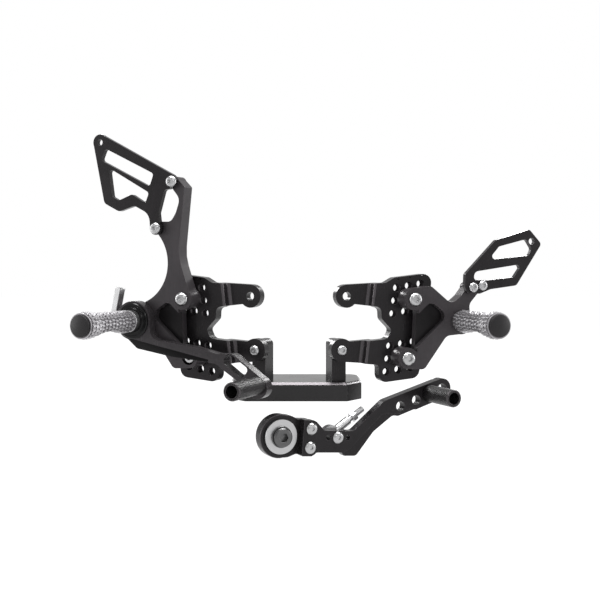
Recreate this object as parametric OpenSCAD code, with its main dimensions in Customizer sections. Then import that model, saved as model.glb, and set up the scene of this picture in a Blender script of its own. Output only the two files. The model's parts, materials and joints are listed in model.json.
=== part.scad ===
// Rear-set footrest controls for a sports motorbike: two adapter plates with
// footpeg hangers, heel guards and pegs, a brake lever, a gear lever that
// stands apart, and the flat bridge that both plates are bolted to.
//
// Millimetres. X runs to the right, Y away from the viewer, Z up. The origin
// is at the middle of the bridge's underside.
//
// Each plate has a frame of its own: x runs along the plate away from its
// ears, y is up, z points outwards from the face that meets the post.

/* [Bridge] */
// Width of the bridge
bridge_w = 134; // [110:1:170]
// Depth of the bridge, front to back
bridge_d = 75; // [60:1:100]
// Thickness of the bridge
bridge_h = 19; // [14:0.5:26]
// Width of the cut on each front corner
bridge_corner = 15.5; // [6:0.5:20]
// Depth of the cut on each front corner
bridge_corner_d = 20; // [8:1:24]
// Radius of the back corners
bridge_round = 10; // [4:0.5:14]
// Bevel round the top edge
bridge_bevel = 2.5; // [1:0.1:4]

/* [Posts] */
// Width of a post, along its plate
post_w = 15; // [13:0.5:20]
// Thickness of a post, behind its plate
post_t = 18; // [14:0.5:24]
// Height of a post above the bridge
post_h = 43; // [36:0.5:60]
// Radius of a post's top corners
post_round = 6; // [2:0.5:7]
// Distance of the ear bolt below the post's top
post_drop = 10.5; // [9:0.5:16]
// Brake-side post: distance from the middle of the bridge
brake_post_x = 37.7; // [30:0.1:44]
// Gear-side post: distance from the middle of the bridge
gear_post_x = 43.3; // [34:0.1:46]
// Distance from the bridge's front edge to the posts' faces
post_setback = 8.4; // [5:0.1:14]
// Angle by which the brake-side plate turns outwards
brake_splay = 25; // [10:0.5:35]
// Angle by which the gear-side plate turns outwards
gear_splay = 18.5; // [10:0.5:35]

/* [Adapter plates] */
// Thickness of the ears
ear_t = 9; // [6:0.5:12]
// Thickness of the body behind the hanger
body_t = 11; // [8:0.5:14]
// Radius of an ear
ear_r = 11.7; // [9:0.1:14]
// Height between the two ear holes
ear_pitch = 54.2; // [46:0.2:62]
// Offset of the upper ear hole, along the plate
ear_offset = 5; // [0:0.5:9]
// Diameter of the upper ear hole
ear_hole_d = 8.5; // [6:0.1:10]
// Diameter of the grid holes and of the hanger bores
grid_hole_d = 8.4; // [8.2:0.1:9]
// Spacing of the grid holes
grid_pitch = 13.1; // [12:0.1:15]
// Angle by which the rows rise and the columns lean
grid_skew = 8.5; // [0:0.5:12]
// Upper hole field: distance from the lower ear bolt
field_x = 65.8; // [60:0.2:74]
// Upper hole field: height above the lower ear bolt
field_y = 51.4; // [46:0.2:56]
// Distance between the two hole fields
field_gap = 59; // [54:0.5:64]
// Angle by which the two fields lean
field_lean = 7; // [0:0.5:10]
// Fillet at the foot of the step between ears and body
jog_fillet = 4; // [1:0.5:5]
// Width of the thick band that joins ears and body
jog_w = 8; // [6:0.5:12]

/* [Hangers] */
// Thickness of a hanger's legs
hanger_t = 15; // [11:0.5:18]
// Height of the pads that stand the hanger off the plate
pad_h = 5; // [2:0.5:8]
// Radius of the bosses round the hanger bolts
boss_r = 11; // [9.5:0.1:12]
// Thickness of the web between the legs
web_t = 8; // [4:0.5:10]
// Footpeg: distance from the lower ear bolt
peg_x = 116.5; // [108:0.5:126]
// Footpeg: height above the lower ear bolt
peg_y = 28.9; // [22:0.1:34]
// Radius of the boss behind a footpeg
peg_boss_r = 13.5; // [12.1:0.1:14]
// Radius of the hollow back of the brake-side arm
arm_hollow_r = 42.5; // [36:0.5:50]

/* [Heel guards] */
// Thickness of the heel guards
guard_t = 5; // [3:0.5:7]
// Diameter of the small hole in each guard's corner
guard_hole_d = 6.6; // [3:0.1:8]
// Height of the brake-side guard above the lower ear bolt
brake_guard_y = 122.2; // [118:0.2:128]
// Head diameter of the brake-side guard screws
brake_guard_head_d = 11.8; // [10:0.1:13]
// Head diameter of the gear-side guard screws
gear_guard_head_d = 10.2; // [9:0.1:10.4]

/* [Footpegs] */
// Length of a footpeg
peg_l = 76; // [66:1:96]
// Radius over the teeth
peg_r = 11.4; // [11:0.1:12.4]
// Radius over the teeth at the outer end
peg_tip_r = 13.4; // [12.6:0.1:15]
// Depth of the teeth
tooth_h = 1.4; // [0.8:0.1:1.8]
// Teeth round a footpeg
tooth_n = 20; // [14:1:26]
// Rings of teeth along a footpeg
ring_n = 13; // [8:1:14]
// Depth of the hollow under a footpeg
peg_hollow = 4.6; // [2:0.1:5]
// Diameter of the cap on a footpeg's end
cap_d = 21.5; // [18:0.5:24]
// Thickness of that cap at its rim
cap_t = 2; // [1:0.2:4]
// Length of the smooth collar on the brake-side peg
collar_l = 8.5; // [5:0.5:14]
// Diameter of the peg bolts
peg_bolt_d = 10; // [8:0.5:10]

/* [Brake lever] */
// Thickness of the brake lever
lever_t = 11.7; // [9:0.1:14]
// Radius of the lever's hub
hub_r = 20; // [17:0.2:21]
// Outer diameter of the pivot bush
bush_d = 20; // [16:0.5:22]
// Running gap at each face of the hub
run_gap = 0.3; // [0.1:0.05:0.4]
// Running gap round the bush
bush_gap = 0.1; // [0.05:0.01:0.2]
// Width of the loop at the lever's end
loop_w = 20; // [18:0.5:24]
// Width of the loop's window
loop_window = 12; // [8:0.5:13]
// Depth of the long chamfer along the lever's lower edge
chamfer_d = 6.5; // [3:0.5:8]
// Width of that chamfer, seen from the front
chamfer_w = 9.5; // [5:0.5:11]
// Toe peg: distance from the footpeg, along the plate
toe_reach = 142.3; // [136:0.1:150]
// Toe peg: drop below the footpeg
toe_drop = 57.8; // [52:0.2:62]
// Distance from footpeg to push-rod pin
tang_l = 33.5; // [28:0.5:40]
// Thickness of the tang that carries the push rod
tang_t = 5; // [3:0.5:6]

/* [Push-rod coupling] */
// Width across flats of the coupling
coupling_af = 10; // [9:0.5:12]
// Length from the pin to the coupling's top
coupling_l = 32; // [28:1:44]
// Angle by which the coupling leans inwards
coupling_lean = 12.5; // [5:0.5:20]
// Diameter of the coupling's pin
pin_d = 6; // [4:0.5:6]

/* [Toe pegs] */
// Length of the brake-side toe peg
brake_toe_l = 52; // [36:1:60]
// Length of the gear-side toe peg
gear_toe_l = 44; // [36:1:60]
// Diameter of a toe peg
toe_d = 17.6; // [14:0.2:20]
// Diameter of the bore at a toe peg's tip
toe_bore_d = 12; // [10.6:0.2:13]
// Depth of that bore
toe_bore_l = 30; // [18:1:32]
// Thread diameter of the toe-peg screws
toe_screw_d = 6; // [5:0.5:6]

/* [Gear lever] */
// Pivot of the gear lever: to the left of the middle
lever_x = 10.8; // [0:0.2:20]
// Pivot of the gear lever: in front of the middle
lever_y = 86.4; // [76:0.2:110]
// Pivot of the gear lever: below the bridge's underside
lever_z = 28.2; // [24:0.2:44]
// Angle by which the gear lever turns outwards
lever_splay = 26; // [10:0.5:35]
// Angle by which it dips
lever_dip = 5; // [0:0.5:10]
// Thickness of the lever's arm
arm_t = 10; // [8:0.5:12]
// Depth of the step along the arm's lower edge
arm_step = 3; // [1:0.5:5]
// Diameter of the holes in the arm
arm_hole_d = 10; // [7:0.5:11]
// Spacing of those holes
arm_hole_pitch = 19.5; // [16:0.5:21]
// Slope of the arm's outer stretch
arm_slope = 20; // [16:0.5:22]
// Slope of the arm's middle stretch
bend_slope = 42.3; // [38:0.5:46]
// Thickness of the eye link
link_t = 11; // [9:0.5:13]
// Outer radius of its eye
eye_r = 21.3; // [19:0.1:23]
// Distance from the pivot to the link bolts
link_bolt_x = 28.6; // [26:0.1:30]
// Half the distance between the link bolts
link_bolt_y = 9.1; // [8:0.1:10]
// Radius of the two lobes round the link bolts
lobe_r = 8.5; // [7:0.1:9]
// Diameter of the link bolts' heads
link_head_d = 11.8; // [10:0.1:12.4]
// Distance from the pivot to the rod-end bolt
rod_x = 58.3; // [54:0.1:60]
// Spacing of the holes in that row
rod_pitch = 10.8; // [10:0.1:12]

/* [Gear lever pivot] */
// Outer diameter of the bearing
bearing_d = 28; // [26:0.5:32]
// Bore of the bearing
bearing_bore = 12; // [10:0.5:13]
// Width of the bearing
bearing_w = 8; // [7:0.5:9]
// Balls in the bearing
ball_n = 9; // [6:1:10]
// Diameter of the balls
ball_d = 4.6; // [4:0.1:4.8]
// Diameter of the pivot washer
washer_d = 34; // [30:0.5:36]
// Thickness of the pivot washer
washer_t = 3; // [2:0.2:4]
// Diameter of the pivot bolt's head
pivot_head_d = 19; // [17:0.5:22]
// Height of the pivot bolt's head
pivot_head_h = 6; // [4:0.5:9]
// Width across flats of its socket
pivot_socket = 8; // [6:0.5:9]
// Thread diameter of the pivot bolt, behind its shoulder
pivot_thread_d = 10; // [8:0.5:11]
// Length of that thread
pivot_thread_l = 18; // [10:0.5:24]

/* [Rod end] */
// Radius of the rod end's eye
rod_eye_r = 10; // [9:0.1:11]
// Thickness of the eye
rod_eye_t = 7; // [6:0.5:8]
// Diameter of the ball inside
rod_ball_d = 12; // [11:0.2:13]
// Width of the ball
rod_ball_w = 9; // [8:0.5:10]
// Diameter of the threaded shank
rod_d = 6; // [5:0.5:7]
// Length from the ball to the shank's end
rod_l = 44; // [36:1:54]
// Angle of the shank in the lever's frame
rod_angle = 37.7; // [25:0.5:50]
// Thickness of the spacer between arm and ball
rod_spacer = 2.5; // [2:0.1:5]
// Width across flats of the lock nut
lock_nut_af = 10; // [9:0.5:11]
// Thickness of the lock nut
lock_nut_t = 5; // [4:0.5:7]
// Distance from the ball to the lock nut
lock_nut_x = 28.5; // [24:0.5:34]

/* [Fasteners] */
// Thread diameter of the hanger bolts
hanger_bolt_d = 8; // [6:0.5:8]
// Head diameter of the hanger bolts
hanger_head_d = 14; // [12:0.2:15]
// Head height of the hanger bolts
hanger_head_h = 4.4; // [3:0.2:6]
// Width across flats of the hanger nuts
hanger_nut_af = 13; // [12:0.5:14]
// Depth to which the bolt under the brake lever is sunk
hanger_bolt_sink = 5; // [4.6:0.2:6]
// Thickness of the hanger nuts
hanger_nut_t = 6.5; // [4:0.5:7]
// Thread diameter of the ear bolts
ear_bolt_d = 6; // [5:0.5:7]
// Head diameter of the ear bolts
ear_head_d = 10.6; // [9:0.2:12]
// Thread diameter of the post screws
post_screw_d = 5; // [4:0.5:6]
// Clearance of a bolt in its plain hole, all round
bolt_gap = 0.2; // [0.1:0.05:0.4]

/* [Hidden] */
$fn = 48;
// Sweep of one facet on a rounded corner, in degrees
arc_step = 15;
// Overlap of a cutter past the face it cuts
eps = 1;

black = [0.16, 0.16, 0.17];
dark = [0.1, 0.1, 0.11];
silver = [0.82, 0.83, 0.85];
steel = [0.62, 0.63, 0.66];

// Heights above a plate's inner face
body_face = ear_t + body_t;
hanger_back = body_face + pad_h;
hanger_face = hanger_back + hanger_t;
lever_back = hanger_face + run_gap;
lever_face = lever_back + lever_t;
collar_back = lever_face + run_gap;
brake_peg_back = collar_back + collar_l;

// Places on a plate
ear_bolt_z = bridge_h + post_h - post_drop;
post_face_y = -bridge_d / 2 + post_setback;
upper_ear = [ear_offset, ear_pitch];
upper_field = [field_x, field_y];
lower_field = upper_field - field_gap * [sin(field_lean), cos(field_lean)];
row_step = grid_pitch * [cos(grid_skew), sin(grid_skew)];
column_step = grid_pitch * [sin(grid_skew), cos(grid_skew)];
jog_x = 21.5;
// Reaches past the plate on every side
plate_span = field_x + ear_pitch + field_gap;
peg = [peg_x, peg_y];
toe = peg - [toe_reach, toe_drop];
tang_pin = peg + [tang_l, 1];

// Bolt lengths
hanger_bolt_l = pad_h + hanger_t + body_t + hanger_nut_t + 1;
ear_bolt_l = ear_t + post_t - 4;

// Gear lever
link_back = -arm_t - link_t;
bearing_back = link_back + 1.5;
bend = [75.5, 7.6];
bend_l = 43;
rod = [rod_x, 1];
rod_mid = -arm_t - rod_spacer - rod_ball_w / 2;
arm_hole = [127.4, 33.4];
toe_hole = arm_hole + [33.6, 14];
tip_hole = arm_hole + [48.9, 19.7];

// A corner with a radius: points of the arc that rounds q between p and s
function unit(v) = v / norm(v);
function corner(p, q, s, r) =
    let (a = unit(p - q), b = unit(s - q), half = acos(max(-1, min(1, a * b))) / 2)
    r == 0 || half > 89 ? [q] :
    let (t = min(r / tan(half), 0.48 * norm(p - q), 0.48 * norm(s - q)),
        rr = t * tan(half),
        c = q + unit(a + b) * rr / sin(half),
        v0 = q + a * t - c,
        v1 = q + b * t - c,
        a0 = atan2(v0.y, v0.x),
        turn = (atan2(v1.y, v1.x) - a0 + 540) % 360 - 180,
        n = max(2, ceil(abs(turn) / arc_step)))
    [for (i = [0:n]) c + rr * [cos(a0 + turn * i / n), sin(a0 + turn * i / n)]];
function xy(v) = [v.x, v.y];
// An outline from corners given as [x, y, radius]
function rounded(c) =
    let (n = len(c))
    [for (i = [0:n - 1])
        each corner(xy(c[(i + n - 1) % n]), xy(c[i]), xy(c[(i + 1) % n]), c[i][2])];
// A corner placed from a named point
function at(p, dx, dy, r = 0) = [p.x + dx, p.y + dy, r];
// Points round c from angle a0 to a1, as corners without a radius
function arc(c, r, a0, a1) =
    let (n = ceil(abs(a1 - a0) / arc_step))
    [for (i = [0:n]) let (a = a0 + (a1 - a0) * i / n) at(c, r * cos(a), r * sin(a))];

// Frames
module on_gear() {
    translate([gear_post_x, post_face_y, ear_bolt_z]) rotate([90, 0, gear_splay]) children();
}

module on_brake() {
    mirror([1, 0, 0])
        translate([brake_post_x, post_face_y, ear_bolt_z])
            rotate([90, 0, brake_splay]) children();
}

module on_lever() {
    translate([-lever_x, -lever_y, -lever_z])
        rotate([90, 0, lever_splay]) rotate([0, 0, -lever_dip]) children();
}

// Helpers
module slab(z0, z1) {
    translate([0, 0, z0]) linear_extrude(z1 - z0) children();
}

module bore(p, d, z0, z1) {
    translate([p.x, p.y, z0 - eps]) cylinder(d = d, h = z1 - z0 + 2 * eps);
}

module disc(p, d, z0, z1) {
    translate([p.x, p.y, z0]) cylinder(d = d, h = z1 - z0);
}

// Low round head with a hex socket; its seat is at z = 0, the shank runs down
module button_bolt(d, head_d, head_h, l) {
    difference() {
        union() {
            rotate_extrude()
                polygon(rounded([[0, 0, 0], [head_d / 2, 0, 0],
                    [head_d / 2, head_h * 0.35, 0], [head_d * 0.36, head_h, head_h * 0.6],
                    [0, head_h, 0]]));
            translate([0, 0, -l]) cylinder(d = d, h = l + head_h / 2);
        }
        translate([0, 0, head_h * 0.4]) cylinder(d = d * 0.72, h = head_h, $fn = 6);
    }
}

// Cylinder head with a hex socket; its seat is at z = 0, the shank runs down
module cap_screw(d, head_d, head_h, l, socket) {
    difference() {
        union() {
            cylinder(d = head_d, h = head_h);
            translate([0, 0, -l]) cylinder(d = d, h = l + head_h / 2);
        }
        translate([0, 0, head_h * 0.4]) cylinder(d = socket / cos(30), h = head_h, $fn = 6);
    }
}

module hex_ring(af, d, t) {
    difference() {
        cylinder(d = af / cos(30), h = t, $fn = 6);
        translate([0, 0, -eps]) cylinder(d = d, h = t + 2 * eps);
    }
}

// Bridge with cut front corners and a bevelled top edge
module bridge_outline(inset) {
    x = bridge_w / 2 - inset;
    y = bridge_d / 2 - inset;
    polygon(rounded([[-x, y, bridge_round], [-x, -y + bridge_corner_d, 2],
        [-x + bridge_corner, -y, 2], [x - bridge_corner, -y, 2],
        [x, -y + bridge_corner_d, 2], [x, y, bridge_round]]));
}

module post_screw_places() {
    for (s = [-1, 1])
        translate([0, s * post_t / 4, 0]) children();
}

module brake_post_foot() {
    mirror([1, 0, 0]) translate([brake_post_x, post_face_y, 0]) rotate([0, 0, brake_splay])
        translate([0, post_t / 2, 0]) children();
}

module gear_post_foot() {
    translate([gear_post_x, post_face_y, 0]) rotate([0, 0, gear_splay])
        translate([0, post_t / 2, 0]) children();
}

module post_screw_recess() {
    post_screw_places() {
        translate([0, 0, -eps]) cylinder(d = post_screw_d + 2 * bolt_gap, h = bridge_h + 2 * eps);
        translate([0, 0, -eps])
            cylinder(d = post_screw_d * 1.7 + 2 * bolt_gap, h = post_screw_d + eps + 0.5);
    }
}

module bridge_bar() {
    color(black)
        difference() {
            union() {
                linear_extrude(bridge_h - bridge_bevel) bridge_outline(0);
                hull() {
                    translate([0, 0, bridge_h - bridge_bevel - 0.01])
                        linear_extrude(0.01) bridge_outline(0);
                    translate([0, 0, bridge_h - 0.01])
                        linear_extrude(0.01) bridge_outline(bridge_bevel);
                }
            }
            brake_post_foot() post_screw_recess();
            gear_post_foot() post_screw_recess();
        }
}

// Post with rounded top corners, drilled for the ear bolt and the foot screws
module post() {
    difference() {
        translate([0, 0, -post_t])
            linear_extrude(post_t)
                polygon(rounded([[-post_w / 2, bridge_h - ear_bolt_z, 0],
                    [post_w / 2, bridge_h - ear_bolt_z, 0],
                    [post_w / 2, post_drop, post_round],
                    [-post_w / 2, post_drop, post_round]]));
        bore([0, 0], ear_bolt_d + 2 * bolt_gap, -post_t, 0);
        for (s = [-1, 1])
            translate([0, bridge_h - ear_bolt_z - eps, -post_t / 2 + s * post_t / 4])
                rotate([-90, 0, 0])
                    cylinder(d = post_screw_d + 2 * bolt_gap, h = post_screw_d * 3 + eps);
    }
}

module brake_post() {
    color(dark) on_brake() post();
}

module gear_post() {
    color(dark) on_gear() post();
}

module post_screw_set() {
    post_screw_places()
        translate([0, 0, post_screw_d + 0.5])
            rotate([180, 0, 0])
                cap_screw(post_screw_d, post_screw_d * 1.7, post_screw_d,
                    bridge_h - 0.5 + post_screw_d, post_screw_d * 0.8);
}

module post_screws() {
    color(steel) {
        brake_post_foot() post_screw_set();
        gear_post_foot() post_screw_set();
    }
}

module ear_bolt() {
    translate([0, 0, ear_t]) button_bolt(ear_bolt_d, ear_head_d, 3.3, ear_bolt_l);
}

module ear_bolts() {
    color(silver) {
        on_brake() ear_bolt();
        on_gear() ear_bolt();
    }
}

// Adapter plate: two round ears, a hollow between them, a body with two hole fields
module adapter_outline() {
    polygon(rounded(concat(
        arc(upper_ear, ear_r, -44, -266),
        [at(upper_field, -23, 16.2, 6),
            at(upper_field, -13.8, 21.4, 8),
            at(upper_field, 28.5, 26, 9),
            at(lower_field, 20.5, -22, 9),
            at(lower_field, -23.5, -26, 11),
            [lower_field.x - 23.4, -ear_r - 3, 4]],
        arc([0, 0], ear_r, -86, -313),
        [at(lower_field, -29, 17, 8),
            at(lower_field, -14, 18.3, 6),
            at(lower_field, -9.6, 27.6, 4),
            at(lower_field, -20.4, 38.6, 5),
            [lower_field.x - 21, upper_ear.y - 11, 6]])));
}

// Side view of the plate: ears low, body high, a filleted step between them
module adapter_section() {
    polygon(rounded([[-plate_span, 0, 0], [jog_fillet + jog_w, 0, 3],
        [jog_fillet + jog_w, ear_t, 3], [plate_span, ear_t, 0], [plate_span, body_face, 0],
        [jog_fillet, body_face, 3], [jog_fillet, ear_t, jog_fillet],
        [-plate_span, ear_t, 0]]));
}

module grid_places(field) {
    for (i = [-1:1], j = [-1:1])
        translate(field + i * row_step + j * column_step) children();
}

module adapter_plate() {
    difference() {
        intersection() {
            slab(0, body_face) adapter_outline();
            translate([jog_x, field_y / 2, 0])
                rotate([0, 0, -field_lean])
                    translate([0, plate_span, 0]) rotate([90, 0, 0])
                        linear_extrude(2 * plate_span) adapter_section();
        }
        bore([0, 0], ear_bolt_d + 2 * bolt_gap, 0, body_face);
        bore(upper_ear, ear_hole_d, 0, body_face);
        for (field = [upper_field, lower_field])
            grid_places(field) translate([0, 0, ear_t - eps])
                cylinder(d = grid_hole_d, h = body_t + 2 * eps);
        for (i = [-1:1])
            translate(upper_field + i * row_step + column_step * 1.68)
                translate([0, 0, ear_t - eps]) cylinder(r = 1, h = body_t + 2 * eps, $fn = 16);
    }
}

module brake_adapter_plate() {
    color(black) on_brake() adapter_plate();
}

module gear_adapter_plate() {
    color(black) on_gear() adapter_plate();
}

// Hanger: two legs from the hanger bolts to the peg boss, with a recessed web
module hanger_base(top) {
    translate(upper_field) circle(r = boss_r);
    translate(lower_field) circle(r = boss_r - 0.4);
    translate(peg) circle(r = peg_boss_r);
    polygon(rounded(concat([at(upper_field, 0, boss_r)], top,
        [at(peg, 0, 0), at(peg, -2, -peg_boss_r + 0.1), at(peg, -16, -14.5, 8),
            at(lower_field, 17.5, -11.5, 6), at(lower_field, 0, -boss_r + 0.4),
            at(lower_field, 0, 0), at(lower_field, 9.4, 0), at(upper_field, 4.6, 0),
            at(upper_field, 0, 0)])));
}

// Field between the legs that is cut back to the web
module web_recess() {
    difference() {
        polygon(rounded([at(upper_field, -6, -21), at(upper_field, 5.2, -13, 3),
            at(upper_field, 17, -2.2, 7), at(peg, -14, 6, 8),
            at(lower_field, 9.4, 11.2, 2), at(lower_field, 1, 11.2)]));
        translate(upper_field) circle(r = boss_r);
        translate(lower_field) circle(r = boss_r - 0.4);
    }
}

module hanger_cuts(sink = 0) {
    translate([0, 0, hanger_back + web_t])
        linear_extrude(hanger_t) web_recess();
    if (sink > 0)
        translate([lower_field.x, lower_field.y, hanger_face - sink])
            cylinder(d = hanger_head_d + 0.6, h = sink + eps);
    bore(upper_field, grid_hole_d, body_face, hanger_face);
    bore(lower_field, grid_hole_d, body_face, hanger_face);
    bore(peg, peg_bolt_d + 2 * bolt_gap, hanger_back, hanger_face);
    translate([peg.x, peg.y, hanger_back - eps])
        cylinder(d = peg_bolt_d * 1.6 + 0.6, h = peg_bolt_d * 0.6 + eps + 0.2);
}

module hanger_pads() {
    disc(upper_field, 2 * boss_r - 1, body_face, hanger_back + eps);
    disc(lower_field, 2 * boss_r - 1, body_face, hanger_back + eps);
}

// Brake side: a long arm with a hollow back rises to the heel guard
brake_guard_low = [93.1, brake_guard_y];
brake_guard_high = brake_guard_low + [-18.8, 46.2];
arm_hollow = [124.6, 87.5];

module brake_arm() {
    difference() {
        union() {
            translate(brake_guard_high) circle(r = 5.5);
            translate(brake_guard_low) circle(r = 7);
            polygon(rounded([at(upper_field, -9.5, 4), [69.8, 94, 45],
                at(brake_guard_high, -12.2, -5.2, 2), at(brake_guard_high, 0.2, 7.6, 2),
                at(brake_guard_high, 1.5, -7, 2), at(brake_guard_high, -6.8, -17.2, 9),
                at(brake_guard_low, -20.6, 15, 10), at(brake_guard_low, -15, 6.6, 7),
                at(brake_guard_low, 0, 6.9), at(brake_guard_low, 6.4, -2.5),
                [104, 60, 0], at(peg, -4, 10), at(upper_field, 20, -6)]));
        }
        translate(arm_hollow) circle(r = arm_hollow_r);
    }
}

module brake_hanger() {
    color(black) on_brake()
        difference() {
            union() {
                slab(hanger_back, hanger_face) {
                    hanger_base([at(upper_field, 16, 11, 4), at(peg, -9, 19, 3)]);
                    brake_arm();
                }
                hanger_pads();
            }
            translate([arm_hollow.x, arm_hollow.y, hanger_back - eps])
                cylinder(r = arm_hollow_r, h = hanger_t + 2 * eps, $fn = 96);
            hanger_cuts(hanger_bolt_sink);
            bore(brake_guard_low, guard_screw_d, hanger_back, hanger_face);
            bore(brake_guard_high, guard_screw_d, hanger_back, hanger_face);
        }
}

// Gear side: a short arm ends in the pad for the heel guard
gear_guard_in = [127.3, 63];
gear_guard_out = gear_guard_in + [10.5, 1.8];
guard_screw_d = 6;

module gear_hanger() {
    color(black) on_gear()
        difference() {
            union() {
                slab(hanger_back, hanger_face) {
                    hanger_base([at(upper_field, 17.5, 13, 4), at(peg, -10.5, 17, 8),
                        at(peg, 0, 25.5, 8), at(gear_guard_in, -3, 1.5),
                        at(gear_guard_in, 0, 4.7), at(gear_guard_out, 0, 4.7),
                        at(gear_guard_out, 3, 3), at(gear_guard_out, 5.2, -4.2, 3),
                        at(gear_guard_in, 8, -6, 6), at(peg, 9, 17, 8), at(peg, 10, 6)]);
                    translate(gear_guard_in) circle(r = 4.8);
                    translate(gear_guard_out) circle(r = 4.8);
                }
                hanger_pads();
            }
            hanger_cuts();
            bore(gear_guard_in, guard_screw_d, hanger_back, hanger_face);
            bore(gear_guard_out, guard_screw_d, hanger_back, hanger_face);
        }
}

// M8 bolts through hanger and plate, with nuts behind
module at_hanger_bolts() {
    for (p = [upper_field, lower_field])
        on_brake() translate(p) children();
    for (p = [upper_field, lower_field])
        on_gear() translate(p) children();
}

module hanger_bolt(sink = 0) {
    translate([0, 0, hanger_face - sink])
        button_bolt(hanger_bolt_d, hanger_head_d, hanger_head_h, hanger_bolt_l - sink);
}

module hanger_bolts() {
    color(silver) {
        on_gear() translate(upper_field) hanger_bolt();
        on_gear() translate(lower_field) hanger_bolt();
        on_brake() translate(upper_field) hanger_bolt();
        on_brake() translate(lower_field) hanger_bolt(hanger_bolt_sink);
    }
}

module hanger_nuts() {
    color(steel)
        at_hanger_bolts()
            translate([0, 0, ear_t - hanger_nut_t])
                hex_ring(hanger_nut_af, hanger_bolt_d + 0.1, hanger_nut_t);
}

// Heel guards: flat plates with two windows each
brake_corner = brake_guard_high + [82.8, 42.7];
brake_guard_hole = brake_corner + [3, 0];

module brake_guard_outline() {
    polygon(rounded([at(brake_guard_high, -6.2, 2.4, 5), at(brake_guard_high, -2, 6.7, 3),
        at(brake_guard_hole, -3.7, 7.2), at(brake_guard_hole, 0, 0),
        at(brake_guard_hole, 7.9, -1.5),
        at(brake_guard_low, 62, 26.4, 6), at(brake_guard_low, 44, 17.6, 6),
        at(brake_guard_low, 25, 23, 5), at(brake_guard_low, 7.4, 14.4, 14),
        at(brake_guard_low, 6.5, -1), at(brake_guard_low, 0, 0),
        at(brake_guard_low, -5, 4), at(brake_guard_low, -3.6, 15.2, 2),
        at(brake_guard_high, 8, -7.6, 8), at(brake_guard_high, 2, -7.6, 4)]));
}

module brake_guard_windows() {
    polygon(rounded([at(brake_corner, -3.8, -6.6, 3), at(brake_corner, -62, -34.2, 3),
        at(brake_corner, -57.2, -47, 3), at(brake_corner, 1.6, -18.4, 3)]));
    polygon(rounded([at(brake_corner, -7.8, -26.4, 3), at(brake_corner, -56.4, -53, 3),
        at(brake_corner, -52.4, -62.5, 3), at(brake_corner, -48.4, -61.5, 3),
        at(brake_corner, -36, -54.1, 4), at(brake_corner, -20, -60, 4),
        at(brake_corner, -12, -56, 3)]));
}

module guard_plate(low, high, hole_at, low_d, corner_d) {
    difference() {
        union() {
            slab(hanger_face, hanger_face + guard_t) children(0);
            disc(low, low_d, hanger_face, hanger_face + guard_t);
            disc(hole_at, corner_d, hanger_face, hanger_face + guard_t);
        }
        slab(hanger_face - eps, hanger_face + guard_t + eps) children(1);
        bore(low, guard_screw_d + 2 * bolt_gap, hanger_face, hanger_face + guard_t);
        bore(high, guard_screw_d + 2 * bolt_gap, hanger_face, hanger_face + guard_t);
        bore(hole_at, guard_hole_d, hanger_face, hanger_face + guard_t);
    }
}

module brake_heel_guard() {
    color(black) on_brake()
        guard_plate(brake_guard_low, brake_guard_high, brake_guard_hole, 13.2, 16.4) {
            brake_guard_outline();
            brake_guard_windows();
        }
}

gear_corner = gear_guard_in + [66.5, 46.5];

module gear_guard_outline() {
    polygon(rounded([at(gear_guard_in, -9.4, 0.6, 4), at(gear_guard_in, -9, 13.4, 3),
        at(gear_guard_in, 25, 47.4, 3), at(gear_corner, -2.4, 12, 3),
        at(gear_corner, 11.6, -2.6, 4), at(gear_guard_out, 38.8, -0.4, 5),
        at(gear_guard_out, 9, -4, 4), at(gear_guard_in, 7.5, -6.6, 5),
        at(gear_guard_in, -7, -6.2, 6)]));
}

module gear_guard_windows() {
    polygon(rounded([at(gear_guard_in, 17, 27.6, 3), at(gear_guard_in, 29, 41, 4),
        at(gear_guard_in, 60, 48.6, 4), at(gear_guard_in, 66.6, 38.8, 3),
        at(gear_guard_in, 63.6, 31.8, 3)]));
    polygon(rounded([at(gear_guard_in, 0.6, 7.2, 3), at(gear_guard_in, 1.4, 15.6, 5),
        at(gear_guard_in, 51, 22.6, 3), at(gear_guard_in, 53, 19, 2),
        at(gear_guard_in, 46.4, 10, 3), at(gear_guard_in, 17, 7, 3)]));
}

module gear_heel_guard() {
    color(black) on_gear()
        guard_plate(gear_guard_in, gear_guard_out, gear_corner, 10, 12) {
            gear_guard_outline();
            gear_guard_windows();
        }
}

module guard_screw(p, head_d) {
    translate([p.x, p.y, hanger_face + guard_t])
        button_bolt(guard_screw_d - 0.1, head_d, 3.3, guard_t + hanger_t - 3);
}

module brake_guard_screws() {
    color(silver) on_brake() {
        guard_screw(brake_guard_low, brake_guard_head_d);
        guard_screw(brake_guard_high, brake_guard_head_d);
    }
}

module gear_guard_screws() {
    color(silver) on_gear() {
        guard_screw(gear_guard_in, gear_guard_head_d);
        guard_screw(gear_guard_out, gear_guard_head_d);
    }
}

// Footpeg: rings of pyramid teeth on a core, hollowed below, flared at the tip
ring_pitch = (peg_l - 4) / ring_n;

function peg_radius(s) =
    let (t = max(0, min(1, (s - 0.72 * peg_l) / (0.24 * peg_l))))
    peg_r + (peg_tip_r - peg_r) * t * t * (3 - 2 * t);

module toothed_disc(r, turn) {
    polygon([for (i = [0:2 * tooth_n - 1])
        let (a = turn + i * 180 / tooth_n, q = i % 2 == 0 ? r : r - tooth_h)
        q * [cos(a), sin(a)]]);
}

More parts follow.
